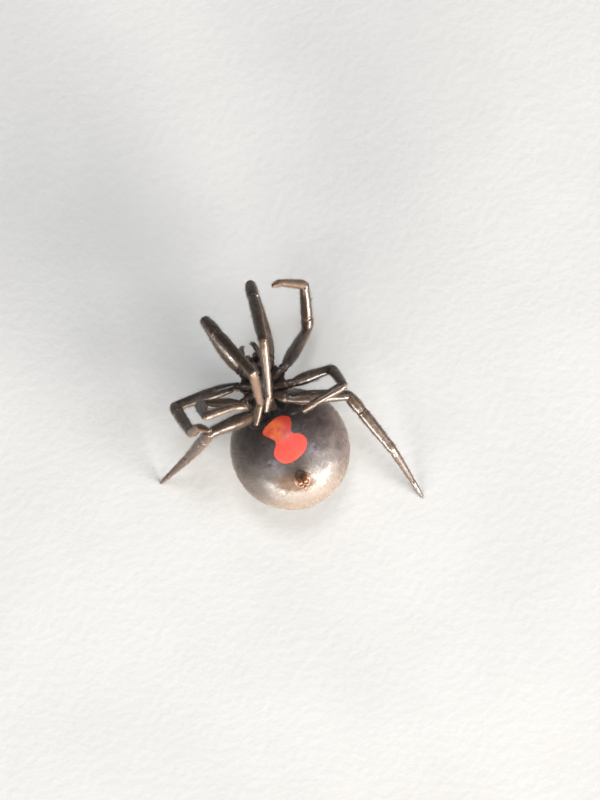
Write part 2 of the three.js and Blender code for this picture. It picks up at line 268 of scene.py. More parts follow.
def way_grid(rings, sides, pole):
    """Directions all round, with their poles along Y or Z, and the faces between them."""
    turn = np.linspace(0, math.pi, rings + 2)[1:-1, None]
    round_ = np.linspace(0, 2 * math.pi, sides, endpoint=False)[None, :]
    along = np.broadcast_to(-np.cos(turn), (rings, sides))
    a, b = np.sin(turn) * np.cos(round_), np.sin(turn) * np.sin(round_)
    ways = np.stack([a, b, along], -1).reshape(-1, 3)
    ways = np.concatenate([ways, [[0, 0, -1], [0, 0, 1]]])
    if pole == "Y":
        ways = ways[:, [1, 2, 0]]
    return ways, ring_faces(rings, sides)


def globe_spots(ways):
    """The places of directions on an unwrapped globe."""
    turn = np.arctan2(ways[:, 0], ways[:, 2]) / (2 * math.pi)
    return np.stack([turn + 0.5, ways[:, 1] * 0.5 + 0.5], -1)


def facing(place, ways):
    """The way a surface faces, from its place function."""
    a = unit(np.cross(ways, [0.31, 0.2, 0.93]))
    b = np.cross(ways, a)
    step = 0.002
    along = place(unit(ways + a * step)) - place(unit(ways - a * step))
    across = place(unit(ways + b * step)) - place(unit(ways - b * step))
    normal = unit(np.cross(along, across))
    return normal * np.sign(np.sum(normal * ways, -1, keepdims=True))


class Limb:
    """A closed tapering shell between two points, with what its hairs need to grow on it."""

    def __init__(
        self, start, end, radius_at, first, last, sides=28, rings=44,
        belly=None, bow=0.0, lip=0.05, seed=1, start_lip=None,
    ):
        self.axis = axis = unit(end - start)
        belly = np.array([0.13, 0.4, 0.9]) if belly is None else belly
        belly = unit(belly - axis * (belly @ axis))
        flank = np.cross(axis, belly)
        length = np.linalg.norm(end - start)
        share = 0.5 - 0.5 * np.cos(np.linspace(0, math.pi, rings + 2)[1:-1])
        self.along = first + (last - first) * share
        from_start, from_last = self.along - first, last - self.along
        from_end = np.minimum(from_start, from_last)
        closing = 1 - np.clip(from_start / (start_lip or lip), 0, 1)
        closing = np.sqrt(1 - np.maximum(closing, 1 - np.clip(from_last / lip, 0, 1)) ** 2)
        rim = 1 + RIM_SWELL * bell(from_end - RIM_PLACE, RIM_WIDTH)
        place = self.along / length
        radius = radius_at(np.clip(place, 0, 1)) * closing * rim
        arch = 4 * bow * np.clip(place, 0, 1) * np.clip(1 - place, 0, 1)
        self.centres = start + axis * self.along[:, None] - belly * arch[:, None]
        turn = np.linspace(0, 2 * math.pi, sides, endpoint=False)
        spokes = np.cos(turn)[:, None] * belly + np.sin(turn)[:, None] * flank
        rounds = self.centres[:, None, :] + radius[:, None, None] * spokes[None]
        flat = rounds.reshape(-1, 3)
        uneven = 1 + 0.012 * ripple(flat, 0.5, seed).reshape(rings, sides, 1)
        self.rounds = self.centres[:, None, :] + (rounds - self.centres[:, None, :]) * uneven
        self.rounds[..., 2] = np.maximum(self.rounds[..., 2], FLOOR_CLEARANCE)
        tips = np.stack([start + axis * first, start + axis * last])
        tips[:, 2] = np.maximum(tips[:, 2], FLOOR_CLEARANCE)
        self.points = np.concatenate([self.rounds.reshape(-1, 3), tips])
        self.faces = ring_faces(rings, sides)
        self.from_end = np.concatenate([np.repeat(from_end, sides), [0, 0]])
        self.area = 2 * math.pi * radius.mean() * (last - first)

    def roots(self, count, source, low=0.04, high=0.97, turn_range=None):
        """Roots of hairs: point, the way out, the way along, and the place on the unwrap."""
        rings, sides = self.rounds.shape[:2]
        along = self.along[0] + (self.along[-1] - self.along[0]) * source.uniform(low, high, count)
        row = np.interp(along, self.along, np.arange(rings))
        lowest, highest = turn_range or (0, 1)
        column = source.uniform(lowest, highest, count) * sides % sides
        r, c = np.minimum(row.astype(int), rings - 2), column.astype(int)
        fr, fc = (row - r)[:, None], (column - c)[:, None]
        c2 = (c + 1) % sides
        point = (self.rounds[r, c] * (1 - fc) + self.rounds[r, c2] * fc) * (1 - fr)
        point += (self.rounds[r + 1, c] * (1 - fc) + self.rounds[r + 1, c2] * fc) * fr
        centre = self.centres[r] * (1 - fr) + self.centres[r + 1] * fr
        out = unit(point - centre)
        way = np.broadcast_to(self.axis, point.shape)
        return point, out, way, np.stack([row / rings, column / sides], -1)


def profile(form, radius):
    """The radius along a limb from its shares, with the corners worn round."""
    rounding = 11
    fine = np.linspace(0, 1, 241)
    shares = np.interp(fine, *zip(*form))
    window = np.hanning(rounding + 2)[1:-1]
    padded = np.pad(shares, rounding // 2, mode="edge")
    shares = np.convolve(padded, window / window.sum(), mode="valid")
    return lambda place: radius * np.interp(place, fine, shares)


def curved_spike(path, radii, sides):
    """A pointed tube along a path, such as a claw or a fang."""
    path, radii = np.asarray(path, float), np.asarray(radii, float)
    tangent = unit(np.gradient(path, axis=0))
    side = unit(np.cross(tangent, [0.21, 0.35, 0.91]))
    other = np.cross(tangent, side)
    turn = np.linspace(0, 2 * math.pi, sides, endpoint=False)[None, :, None]
    spokes = np.cos(turn) * side[:, None] + np.sin(turn) * other[:, None]
    rounds = path[:, None] + radii[:, None, None] * spokes
    inner = rounds[:-1].reshape(-1, 3)
    points = np.concatenate([inner, [path[0] - tangent[0] * radii[0] * 0.5], [path[-1]]])
    points[:, 2] = np.maximum(points[:, 2], FLOOR_CLEARANCE)
    return points, ring_faces(len(path) - 1, sides)


def spike_tone(steps, sides):
    """Goes from 0 at the foot of such a tube to 1 at its tip."""
    return np.append(np.repeat(np.linspace(0, 1, steps - 1), sides), [0, 1])


def ball(centre, radius, sides, rings, way=(0, 0, 1), flatten=1.0):
    """A ball, or one pressed flatter along that way."""
    ways, faces = way_grid(rings, sides, "Z")
    way = unit(np.asarray(way, float))
    points = ways * radius
    points = points - way * (points @ way)[:, None] * (1 - flatten)
    points = points + centre
    points[:, 2] = np.maximum(points[:, 2], FLOOR_CLEARANCE)
    return points, faces


# Shader arithmetic


class Socket:
    """A value in a material that ordinary arithmetic works on."""

    def __init__(self, paint, socket):
        self.paint, self.socket = paint, socket

    def sum(self, kind, first, second):
        return self.paint.node("ShaderNodeMath", {"operation": kind}, {0: first, 1: second})

    def __add__(self, other):
        return self.sum("ADD", self, other)

    __radd__ = __add__

    def __sub__(self, other):
        return self.sum("SUBTRACT", self, other)

    def __rsub__(self, other):
        return self.sum("SUBTRACT", other, self)

    def __mul__(self, other):
        return self.sum("MULTIPLY", self, other)

    __rmul__ = __mul__

    def rise(self, low, high):
        """Goes smoothly from 0 at low to 1 at high."""
        settings = {"interpolation_type": "SMOOTHSTEP"}
        inputs = {0: self, 1: low, 2: high, 3: 0.0, 4: 1.0}
        return self.paint.node("ShaderNodeMapRange", settings, inputs)


class Paint:
    """A material built from expressions."""

    def __init__(self, name, **constants):
        self.material = bpy.data.materials.new(name)
        self.material.use_nodes = True
        self.tree = self.material.node_tree
        self.shader = self.tree.nodes["Principled BSDF"]
        for socket, number in constants.items():
            self.shader.inputs[socket.replace("_", " ")].default_value = number
        self.place = self.node("ShaderNodeTexCoord", out="Object")
        self.relief = None

    def node(self, kind, settings=None, inputs=None, out=0):
        made = self.tree.nodes.new(kind)
        for name, setting in (settings or {}).items():
            setattr(made, name, setting)
        for name, value in (inputs or {}).items():
            self.feed(made.inputs[name], value)
        return Socket(self, made.outputs[out])

    def feed(self, socket, value):
        if isinstance(value, Socket):
            self.tree.links.new(value.socket, socket)
        elif isinstance(value, tuple):
            socket.default_value = (*value, 1.0) if len(socket.default_value) == 4 else value
        else:
            socket.default_value = value

    def mark(self, name):
        """The values that a form was given under that name."""
        return self.node("ShaderNodeAttribute", {"attribute_name": name}, out="Fac")

    def noise(self, size, detail=3.0, seed=0.0, stretch=(1, 1, 1)):
        """Cloudiness from 0 to 1 with patches of that size in millimetres."""
        scale = tuple(1 / (size * MM * s) for s in stretch)
        inputs = {0: self.place, 1: scale, 2: (seed, seed, seed)}
        spot = self.node("ShaderNodeVectorMath", {"operation": "MULTIPLY_ADD"}, inputs)
        inputs = {"Vector": spot, "Scale": 1.0, "Detail": detail}
        return self.node("ShaderNodeTexNoise", None, inputs)

    def cells(self, size):
        inputs = {"Vector": self.place, "Scale": 1 / (size * MM)}
        return self.node("ShaderNodeTexVoronoi", None, inputs)

    def blend(self, mask, first, second):
        """The first colour where the mask is 0 and the second where it is 1."""
        inputs = {0: mask, 6: first, 7: second}
        return self.node("ShaderNodeMix", {"data_type": "RGBA"}, inputs, out=2)

    def emboss(self, height, depth):
        """Relief of that depth in millimetres over what is there already."""
        inputs = {"Strength": 1.0, "Distance": depth * MM, "Height": height}
        if self.relief is not None:
            inputs["Normal"] = self.relief
        self.relief = self.node("ShaderNodeBump", None, inputs)

    def finish(self, **inputs):
        for name, value in inputs.items():
            self.feed(self.shader.inputs[name.replace("_", " ")], value)
        if self.relief is not None:
            self.feed(self.shader.inputs["Normal"], self.relief)
        return self


# Finishes

BLACK = (0.0065, 0.0030, 0.0021)
WARM_BLACK = (0.019, 0.0088, 0.0048)
# A mauve tint on the belly which, stronger on the side toward the lamps, is a painted sheen
MAUVE_TINT_AND_SHEEN = (0.052, 0.031, 0.032)
# Colour of the painted lavender reflection beside the hourglass
LAVENDER_SHEEN = (0.058, 0.047, 0.058)
# Rust-brown that also serves as the painted shadow of the spinnerets
RUST_AND_SHADOW_BROWN = (0.040, 0.018, 0.0075)
# A paler brown rear, partly real and partly a painted highlight of the glare from the low lamps
TAIL_BROWN_AND_GLARE = (0.056, 0.037, 0.025)
RED = (0.60, 0.030, 0.013)
# Real orange of the hourglass's front lobe, made brighter as painted light against its shade
ORANGE_PAINTED_BRIGHT = (0.95, 0.20, 0.048)
LEG_BROWN = (0.024, 0.0120, 0.0062)
LEG_TAN = (0.075, 0.040, 0.020)
FOOT_TAN = (0.070, 0.038, 0.019)
SKIN_PALE = (0.17, 0.115, 0.08)
DUST = (0.34, 0.30, 0.25)
HAIR_DARK = (0.016, 0.011, 0.009)
HAIR_BROWN = (0.075, 0.040, 0.020)
HAIR_PALE = (0.36, 0.27, 0.18)
BODY_BLACK = (0.012, 0.0075, 0.006)
BODY_BROWN = (0.06, 0.027, 0.015)
FOOT_BROWN = (0.026, 0.0105, 0.006)
SPINNERET_BROWN = (0.095, 0.042, 0.019)
SPINNERET_TAN = (0.21, 0.086, 0.034)
CLAW_DARK = (0.020, 0.008, 0.005)
CLAW_RED = (0.10, 0.022, 0.008)
EYE_DARK = (0.010, 0.006, 0.005)
EYE_RIM = (0.10, 0.07, 0.05)
BELLY_SHEEN = (1.0, 0.86, 0.70, 1.0)
SHELL_SHEEN = (1.0, 0.88, 0.74, 1.0)
HOURGLASS_EDGE = 0.035
HAIR_HOURGLASS_EDGE = 0.03


def rust_and_shadow_mask(paint):
    """The brown patch round the spinnerets, with a ragged edge: real rust-brown and also a painted
    shadow of the spinnerets.
    """
    ragged = (paint.noise(0.45, 4, 5.0) - 0.5) * 0.9
    return (paint.mark("rust_and_shadow") + ragged).rise(0.0, 0.6)


def abdomen_colour(paint, edge):
    """The mask of the hourglass, which ends over that edge, and the colours of skin and hairs.

    Mark hourglass is the distance inside the marking, in millimetres.
    """
    inside = paint.mark("hourglass") + (paint.noise(0.25, 3, 4.0) - 0.5) * 0.12
    red = inside.rise(-edge, edge)
    # Orange front lobe, partly painted light that makes up for its shade
    orange_painted_bright = paint.mark("orange_painted_bright").rise(0.2, 1.0) * paint.noise(0.5, 2, 1.0).rise(0.1, 0.8)
    fiery = paint.blend(orange_painted_bright, RED, ORANGE_PAINTED_BRIGHT)
    ground = paint.blend(paint.noise(1.7, 4, 2.0).rise(0.42, 0.68), BLACK, WARM_BLACK)
    # Mauve tint, stronger on the side toward the lamps as a painted sheen
    mauve_tint_and_sheen = paint.mark("mauve_tint_and_sheen") * paint.noise(0.9, 3, 7.0).rise(0.3, 0.7)
    ground = paint.blend(mauve_tint_and_sheen, ground, MAUVE_TINT_AND_SHEEN)
    # Browner rear, partly a painted highlight of the glare
    tail = paint.mark("tail") * (paint.noise(0.6, 4, 8.0) * 0.6 + 0.55)
    ground = paint.blend(tail, ground, TAIL_BROWN_AND_GLARE)
    # Painted lavender reflection either side of the hourglass's rear lobe
    lavender_sheen = paint.mark("lavender_sheen") * paint.noise(0.5, 3, 6.0).rise(0.25, 0.6)
    ground = paint.blend(lavender_sheen, ground, LAVENDER_SHEEN)
    # Rust-brown patch, partly a painted shadow of the spinnerets
    ground = paint.blend(rust_and_shadow_mask(paint), ground, RUST_AND_SHADOW_BROWN)
    return red, paint.blend(red, ground, fiery)


def abdomen_finish():
    paint = Paint(
        "abdomen_cuticle", Specular_IOR_Level=0.6, Coat_Roughness=0.26,
        Sheen_Weight=0.1, Sheen_Roughness=0.4, Sheen_Tint=BELLY_SHEEN,
    )
    colour = abdomen_colour(paint, HOURGLASS_EDGE)[1]
    paint.emboss(paint.cells(0.045), 0.004)
    paint.emboss(paint.noise(0.16, 4, 3.0), 0.009)
    paint.emboss(paint.noise(0.8, 3, 9.0, (1, 2.2, 1)), 0.03)
    roughness = paint.noise(0.35, 4, 6.0).rise(0.3, 0.75) * 0.14 + paint.mark("satin") * 0.24 + 0.26
    rust_and_shadow = rust_and_shadow_mask(paint)
    roughness = roughness + rust_and_shadow * 0.38
    return paint.finish(Base_Color=colour, Roughness=roughness, Coat_Weight=0.15 - rust_and_shadow * 0.14)


def shell_finish(name, dark, pale, roughness, grain=0.05):
    """Hard plates of the front body, legs and spinnerets, paler where mark pale says."""
    paint = Paint(
        name, Specular_IOR_Level=0.45, Coat_Roughness=0.16,
        Sheen_Weight=0.03, Sheen_Roughness=0.35, Sheen_Tint=SHELL_SHEEN,
    )
    tone = paint.mark("pale") * 0.9 + (paint.noise(0.35, 4, 2.0) - 0.45) * 0.5
    colour = paint.blend(tone.rise(0.0, 1.0), dark, pale)
    dusty = paint.noise(0.5, 5, 8.0).rise(0.56, 0.74) * 0.10
    colour = paint.blend(dusty, colour, DUST)
    paint.emboss(paint.cells(grain), 0.0025)
    paint.emboss(paint.noise(0.14, 4, 3.0), 0.006)
    roughness = paint.noise(0.25, 4, 6.0).rise(0.3, 0.75) * 0.16 + roughness
    return paint.finish(Base_Color=colour, Roughness=roughness, Coat_Weight=0.12)


def joint_finish():
    paint = Paint("joint_membrane", Specular_IOR_Level=0.4, Sheen_Weight=0.15)
    colour = paint.blend(paint.noise(0.09, 3, 1.0).rise(0.35, 0.7), LEG_TAN, SKIN_PALE)
    paint.emboss(paint.noise(0.05, 3, 5.0, (1, 0.4, 1)), 0.012)
    return paint.finish(Base_Color=colour, Roughness=paint.noise(0.2).rise(0.3, 0.7) * 0.2 + 0.42)


def claw_finish():
    paint = Paint("claw_horn", Specular_IOR_Level=0.6, Coat_Weight=0.4, Coat_Roughness=0.08)
    colour = paint.blend(paint.mark("pale").rise(0.2, 1.0), CLAW_DARK, CLAW_RED)
    paint.emboss(paint.noise(0.03, 2, 2.0, (1, 1, 3)), 0.002)
    return paint.finish(Base_Color=colour, Roughness=paint.noise(0.08).rise(0.3, 0.7) * 0.1 + 0.16)


def eye_finish():
    paint = Paint("eye_lens", Specular_IOR_Level=0.7, Coat_Weight=0.8, Coat_Roughness=0.03)
    colour = paint.blend(paint.mark("pale"), EYE_DARK, EYE_RIM)
    paint.emboss(paint.noise(0.1, 2), 0.001)
    return paint.finish(Base_Color=colour, Roughness=paint.noise(0.06).rise(0.3, 0.7) * 0.05 + 0.07)


def hair_finish(name, on_abdomen):
    """Hairs of mixed tones. On the abdomen they are red on the hourglass and paler at the rear, which
    there is partly a painted highlight of the glare.
    """
    paint = Paint(name, Specular_IOR_Level=0.5, Sheen_Weight=0.1)
    colour = paint.blend(paint.mark("tone").rise(0.3, 1.0), HAIR_DARK, HAIR_BROWN)
    # Hairs are paler at random and, at the abdomen's rear, paler still as a painted highlight of the
    # glare
    fair = paint.mark("tone") + (paint.mark("tail") * 0.5 - 0.2 if on_abdomen else -0.2)
    colour = paint.blend(fair.rise(0.6, 0.85) * 0.85, colour, HAIR_PALE)
    if on_abdomen:
        red, skin = abdomen_colour(paint, HAIR_HOURGLASS_EDGE)
        colour = paint.blend(red * 0.75, colour, skin)
    return paint.finish(Base_Color=colour, Roughness=paint.noise(0.1).rise(0.3, 0.7) * 0.12 + 0.38)


cuticle = abdomen_finish()
body_shell = shell_finish("body_plate", BODY_BLACK, BODY_BROWN, 0.3)
leg_shell = shell_finish("leg_plate", LEG_BROWN, LEG_TAN, 0.27)
foot_shell = shell_finish("foot_plate", FOOT_BROWN, FOOT_TAN, 0.33)
spinneret_shell = shell_finish("spinneret_plate", SPINNERET_BROWN, SPINNERET_TAN, 0.5, 0.03)
joint_skin = joint_finish()
claw_horn = claw_finish()
eye_lens = eye_finish()
abdomen_hair = hair_finish("abdomen_hair", on_abdomen=True)
leg_hair = hair_finish("leg_hair", on_abdomen=False)


# Hairs, each of two rings of three points and a tip

HAIR_POINTS = 7
HAIR_SWAY = 0.16
HAIR_SINK = 0.012
HAIR_TAPER = 0.72
HAIR_PATCH = [(across, along) for along in (0, 0.0015) for across in (0, 0.001, 0.002)]
HAIR_PATCH = np.array([*HAIR_PATCH, (0.001, 0.003)])
HAIR_WALLS = np.array([[0, 1, 4, 3], [1, 2, 5, 4], [2, 0, 3, 5]])
HAIR_ENDS = np.array([[3, 4, 6], [4, 5, 6], [5, 3, 6], [0, 2, 1]])


def hair_coat(name, roots, lengths, widths, lift, curl, paint, slot, source, marks=None):
    """Solid pointed hairs. Each is one small patch on the unwrap, at its root's place."""
    point, out, way, spot = roots
    count = len(point)
    way = unit(way - out * np.sum(way * out, -1, keepdims=True))
    sway = np.cross(out, way) * source.normal(0, HAIR_SWAY, (count, 1))
    way = unit(way + sway)
    cross = np.cross(out, way)
    lengths, lift = lengths[:, None], lift[:, None]

    def on_line(t):
        return point + lengths * (t * np.cos(lift) * way + (t * np.sin(lift) - curl * t * t) * out)

    shape = []
    for centre, share in ((on_line(0.0) - out * HAIR_SINK, 1.0), (on_line(0.5), HAIR_TAPER)):
        for turn in (90, 210, 330):
            a = math.radians(turn)
            spoke = math.cos(a) * cross + math.sin(a) * out
            shape.append(centre + widths[:, None] * share * spoke)
    shape.append(on_line(1.0))
    points = np.stack(shape, 1)
    points[..., 2] = np.maximum(points[..., 2], FLOOR_CLEARANCE)
    base = np.arange(count)[:, None, None] * HAIR_POINTS
    quads = (base + HAIR_WALLS).reshape(-1, 4)
    tris = (base + HAIR_ENDS).reshape(-1, 3)
    spots = (spot[:, None, :] * 0.99 + HAIR_PATCH).reshape(-1, 2)
    marks = {"tone": source.uniform(0, 1, count), **(marks or {})}
    marks = {mark: np.repeat(values, HAIR_POINTS) for mark, values in marks.items()}
    form = Form()
    form.add(points.reshape(-1, 3), [quads, tris], **marks)
    form.make(name, paint, slot, spots=spots)


def even_coat(name, roots, lengths, width, lifts, curl, paint, slot, source, marks=None):
    """Hairs of one width, with lengths and lifts, in degrees, drawn between two values."""
    count = len(roots[0])
    lengths = source.uniform(*lengths, count)
    lifts = np.radians(source.uniform(*lifts, count))
    widths = np.full(count, width)
    hair_coat(name, roots, lengths, widths, lifts, curl, paint, slot, source, marks)


def several_roots(parts):
    """Roots from many limbs, each with its own strip of the unwrap."""
    gathered = []
    for order, (point, out, way, spot) in enumerate(parts):
        strip = np.stack([spot[:, 0], (spot[:, 1] + order) / len(parts)], -1)
        gathered.append((point, out, way, strip))
    return tuple(np.concatenate(group) for group in zip(*gathered))


# Abdomen


def inside_hourglass(x, y):
    """Distance inside the marking's outline, less than 0 outside it."""
    corners = np.array(HOURGLASS)
    for _ in range(2):
        after = np.roll(corners, -1, 0)
        cut = [0.75 * corners + 0.25 * after, 0.25 * corners + 0.75 * after]
        corners = np.stack(cut, 1).reshape(-1, 2)
    nexts = np.roll(corners, -1, 0)
    nearest = np.full(x.shape, 1e9)
    within = np.zeros(x.shape, dtype=bool)
    for (ax, ay), (bx, by) in zip(corners, nexts):
        dx, dy = bx - ax, by - ay
        share = np.clip(((x - ax) * dx + (y - ay) * dy) / (dx**2 + dy**2), 0, 1)
        nearest = np.minimum(nearest, np.hypot(x - ax - share * dx, y - ay - share * dy))
        crosses = (ay > y) != (by > y)
        within ^= crosses & (x < dx * (y - ay) / (dy + 1e-12) + ax)
    return np.where(within, nearest, -nearest)


def reach_of(x, y, place, half=(1, 1)):
    """How far a point is from that place, in half widths."""
    return np.hypot((x - place[0]) / half[0], (y - place[1]) / half[1])


def belly_relief(x, y):
    """Height of what stands on the belly: lung plates, genital plate, furrow, creases and pits."""
    height = np.zeros(x.shape)
    for side in (-1, 1):
        reach = reach_of(side * x, y, LUNG_PLATE_PLACE, LUNG_PLATE_HALF)
        height += 0.07 * (1 - smooth(0.7, 1.05, reach)) - 0.022 * bell(reach - 1.1, 0.09)
        for pit in BELLY_PITS:
            height -= 0.035 * bell(reach_of(side * x, y, pit), 0.1)
        crease = np.abs(x - side * (1.5 + 0.25 * np.cos(y * 0.8)))
        height -= 0.03 * bell(crease, 0.3) * smooth(-2.2, -1.0, y) * (1 - smooth(0.9, 1.8, y))
    reach = reach_of(x, y, (0, GENITAL_PLATE_FORWARD), GENITAL_PLATE_HALF)
    height += 0.13 * (1 - smooth(0.45, 1.05, reach))
    height -= 0.10 * bell(x, 0.17) * bell(y - GENITAL_SLIT_FORWARD, 0.045)
    furrow = bell(y - FURROW_FORWARD + 0.09 * x * x, 0.05)
    height -= 0.035 * furrow * (1 - smooth(1.7, 2.3, np.abs(x)))
    ring = np.hypot(x, (y - SPINNERET_PLACE) * 1.1)
    height -= 0.004 * np.cos(ring * 30 + 1.3 * np.sin(x * 5)) * bell(ring - 0.85, 0.25)
    height += 0.1 * bell(ring, 0.72)
    return height


def abdomen_place(ways):
    """The abdomen's surface: a globe with a blunt front, a dent for the stalk and its relief."""
    x, y, z = ways.T
    front = np.maximum(0, y) * np.maximum(0, z + 0.15)
    near = np.arccos(np.clip(ways @ STALK_WAY, -1, 1)) / STALK_DENT_WIDTH
    place = ways * ABDOMEN_HALF
    place[:, 1] *= 1 - ABDOMEN_FRONT_CUT * front
    place[:, 1] += ABDOMEN_BACK_SHIFT * np.maximum(0, -z) ** 2
    place -= ways * (STALK_DENT * bell(near, 1))[:, None]
    relief = belly_relief(place[:, 0], place[:, 1]) * smooth(0.05, 0.35, z)
    for side in (-1, 1):
        for pit in BACK_PITS:
            reach = reach_of(side * place[:, 0], place[:, 1], pit)
            relief -= 0.06 * bell(reach, 0.2) * smooth(0.0, 0.3, -z)
    relief += 0.014 * ripple(ways * 3.7, 2.4, 5) + 0.005 * ripple(ways * 3.7, 0.9, 6)
    place += ways * relief[:, None] + ABDOMEN_CENTRE
    place[:, 2] = 0.5 * (place[:, 2] + np.sqrt(place[:, 2] ** 2 + FLOOR_ROUNDING**2))
    return place


def abdomen_marks(points):
    """Where each colour of the abdomen lies, painted light and shade among them; hourglass and the
    brown patch are below 0 outside their patches.
    """
    x, y, z = points.T
    up = smooth(HOURGLASS_LEVEL, 4.4, z)
    on_belly = z > HOURGLASS_LEVEL
    aside, forward = x - RUST_AND_SHADOW_PLACE[0], y - RUST_AND_SHADOW_PLACE[1]
    across = aside * RUST_AND_SHADOW_TURN[0] - forward * RUST_AND_SHADOW_TURN[1]
    along = aside * RUST_AND_SHADOW_TURN[1] + forward * RUST_AND_SHADOW_TURN[0]
    rust_and_shadow = 1.2 - np.hypot(across / RUST_AND_SHADOW_HALF[0], along / RUST_AND_SHADOW_HALF[1])
    return {
        "hourglass": np.where(on_belly, np.clip(inside_hourglass(x, y), -1, 1), -1),
        # The orange front lobe, brightened as painted light
        "orange_painted_bright": up * (0.15 + bell(reach_of(x, y, BRIGHT_ORANGE_PLACE), 0.75)),
        # The brown patch by the spinnerets, partly their painted shadow
        "rust_and_shadow": np.where(on_belly, np.clip(rust_and_shadow, -1, 1), -1),
        # Where the painted lavender reflection lies
        "lavender_sheen": up * bell(reach_of(np.abs(x), y, LAVENDER_SHEEN_PLACE, (1, 1.2)), 0.42),
        # The rear, browner and with paler hairs, partly a painted highlight of the glare
        "tail": smooth(-1.5, -3.3, y) * smooth(2.8, 4.3, z),
        "satin": smooth(2.8, 4.5, z),
        # Mauve tint over the belly, growing to a painted sheen on the side toward the lamps
        "mauve_tint_and_sheen": np.maximum(smooth(0.4, 2.6, x) * 0.9, 0.25) * smooth(2.2, 4.2, z),
    }


ways, faces = way_grid(230, 330, "Y")
points = abdomen_place(ways)
form = Form()
form.add(points, faces, **abdomen_marks(points))
form.make("abdomen_skin", cuticle, "abdomen_skin", ["abdomen"])

# Its hairs: sparser on the hourglass and low on the back, none at the floor, stalk and spinnerets

ABDOMEN_HAIRS = 17000
source = np.random.default_rng(11)
ways = unit(source.normal(size=(ABDOMEN_HAIRS, 3)))
points = abdomen_place(ways)
x, y, z = points.T
bare = (z < 0.25) | (inside_hourglass(x, y) > -0.03) & (z > HOURGLASS_LEVEL)
bare &= source.uniform(size=len(ways)) < 0.55
bare |= z < 0.12
near_stalk = np.linalg.norm(points - body_point(0, -0.9, -0.2), axis=1) < 0.7
near_spinnerets = (np.hypot(x, y - SPINNERET_PLACE) < 0.5) & (z > 3)
keep = ~(bare | near_stalk | near_spinnerets)
ways, points = ways[keep], points[keep]
backwards = np.broadcast_to([0.0, -1.0, 0.0], points.shape)
roots = (points, facing(abdomen_place, ways), backwards, globe_spots(ways))
even_coat(
    "abdomen_hairs", roots, (0.09, 0.2), 0.005, (15, 36), 0.12,
    abdomen_hair, "abdomen_skin", source, abdomen_marks(points),
)

# Spinnerets: three pairs, a small lobe before them and the anal cone behind them

tail_way = np.array([[0, SPINNERET_PLACE / ABDOMEN_HALF[1], 0.0]])
tail_way[0, 2] = math.sqrt(1 - tail_way[0, 1] ** 2)
tail_place = (tail_way * ABDOMEN_HALF + ABDOMEN_CENTRE)[0]
tail_facing = unit(tail_way / ABDOMEN_HALF)[0]
tail_forward = np.cross(tail_facing, [1.0, 0, 0])


def spinneret_point(side, back, out):
    """The point so far sideways, backwards and outwards from the middle of the group."""
    return tail_place + side * np.array([1.0, 0, 0]) - back * tail_forward + out * tail_facing


# Sideways, backwards, length, radius, and how far each splays and leans back, in degrees
SPINNERETS = [
    (0.22, -0.2, 0.5, 0.2, -6, 22),
    (0.23, 0.2, 0.46, 0.17, -8, 4),
    (0.07, 0.04, 0.4, 0.09, 0, 14),
]
LOWER_JOINT = [(0, 1), (0.55, 0.95), (1, 0.9)]
UPPER_JOINT = [(0, 0.8), (0.7, 0.78), (1, 0.5)]
form = Form()
points, faces = ball(spinneret_point(0, 0.08, 0), 0.56, 60, 30, tail_facing, 0.44)
form.add(points, faces, pale=0.2)
spigots = []
for side, back, length, radius, splay, lean in SPINNERETS:
    splay, lean = math.radians(splay), math.radians(lean)
    for hand in (-1, 1):
        foot = spinneret_point(hand * side, back, 0.05)
        tip_side, tip_back = hand * (side + length * math.sin(splay)), back + length * math.sin(lean)
        tip = spinneret_point(tip_side, tip_back, 0.2 + length * math.cos(splay))
        reach = np.linalg.norm(tip - foot)
        lower = Limb(foot, tip, profile(LOWER_JOINT, radius), -0.02, reach * 0.66, 24, 22)
        upper = Limb(foot, tip, profile(UPPER_JOINT, radius), reach * 0.55, reach, 24, 20, lip=0.06)
        form.add(lower.points, lower.faces, pale=0.25 + 0.5 * bell(lower.from_end, 0.04))
        form.add(upper.points, upper.faces, pale=0.75)
        spigots.append(upper.roots(26, source, 0.86, 0.995))
        spigots.append(lower.roots(40, source, 0.2, 0.9))
cone_radius = profile([(0, 1), (0.6, 0.85), (1, 0.5)], 0.17)
cone = Limb(spinneret_point(0, 0.48, 0), spinneret_point(0, 0.6, 0.28), cone_radius, 0, 0.34, 24, 18)
lobe_foot, lobe_tip = spinneret_point(0, -0.46, 0.02), spinneret_point(0, -0.5, 0.26)
lobe = Limb(lobe_foot, lobe_tip, profile([(0, 1), (1, 0.6)], 0.09), 0, 0.24, 16, 14)
for part in (cone, lobe):
    form.add(part.points, part.faces, pale=0.4 + 0.4 * bell(part.from_end, 0.05))
    spigots.append(part.roots(30, source, 0.2, 0.97))
form.make("spinneret_group", spinneret_shell, "spinneret_skin", ["spinnerets"])
even_coat(
    "spinneret_hairs", several_roots(spigots), (0.06, 0.17), 0.006, (35, 65), 0.1,
    leg_hair, "spinneret_skin", source,
)

# Stalk between the two halves, with its ring folds

stalk_front, stalk_back = body_point(0, -0.8, -0.2), ABDOMEN_CENTRE + STALK_WAY * 2.6
stalk_length = np.linalg.norm(stalk_back - stalk_front)


def stalk_radius(place):
    return STALK_RADIUS * (1 + 0.04 * np.cos(place * 60))


stalk = Limb(stalk_front, stalk_back, stalk_radius, -0.1, stalk_length, 32, 60)
form = Form()
form.add(stalk.points, stalk.faces)
form.make("stalk_skin", joint_skin, "joint_skin", ["pedicel"])

# Back shield of the front body. Its grooves run between two places, each sideways and forwards

NECK_GROOVE = (0.12, 0.1, 0.85, 1.05)
MIDDLE_DIMPLE = (0, -0.12, 0, -0.3)
LEG_GROOVES = [(0.2, -0.02, 1.15, 0.6), (0.2, -0.15, 1.25, 0.0), (0.18, -0.3, 1.05, -0.6)]


